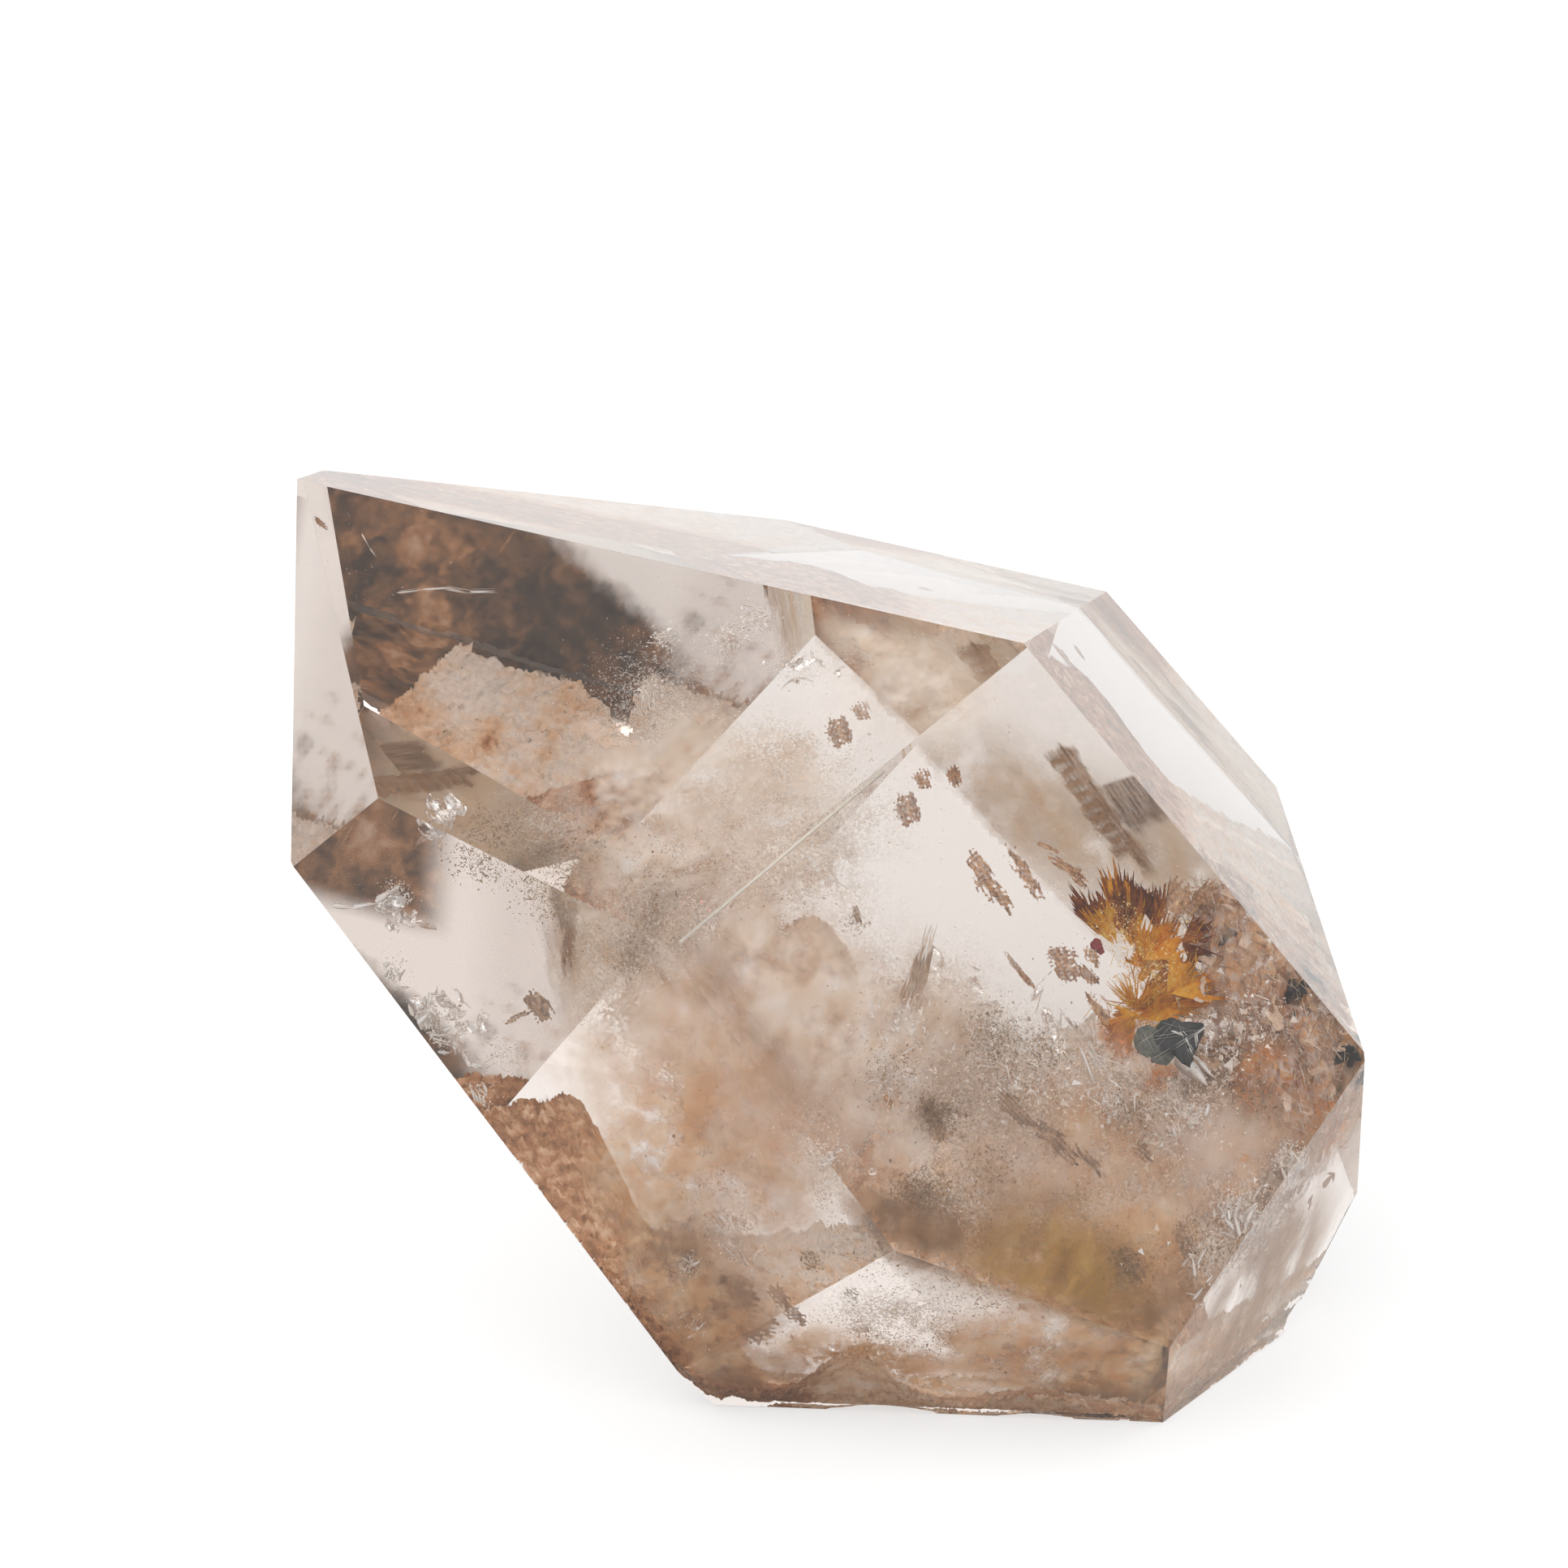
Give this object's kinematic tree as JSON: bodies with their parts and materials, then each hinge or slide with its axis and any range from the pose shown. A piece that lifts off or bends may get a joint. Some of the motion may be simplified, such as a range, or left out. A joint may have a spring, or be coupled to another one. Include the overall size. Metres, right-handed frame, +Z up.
{
  "type": "rutilated quartz point",
  "caption": "Free-standing cut and polished quartz crystal point with a flat base, clear smoky body and mineral inclusions inside.",
  "frame": {"origin": "middle of the box around the stone, at the level of its flat base", "axes": "+Z up, -Y towards the viewer of the picture, so the crystal axis leans to -X"},
  "size_m": [0.0888, 0.095, 0.0717],
  "materials": {
    "polished_quartz": "polished",
    "rutile_and_limonite": "silky",
    "hematite": "metallic",
    "milky_veil": "satin",
    "smoky_flakes": "satin"
  },
  "bodies": {
    "root": {"quartz_point": "polished_quartz"}
  },
  "joints": []
}
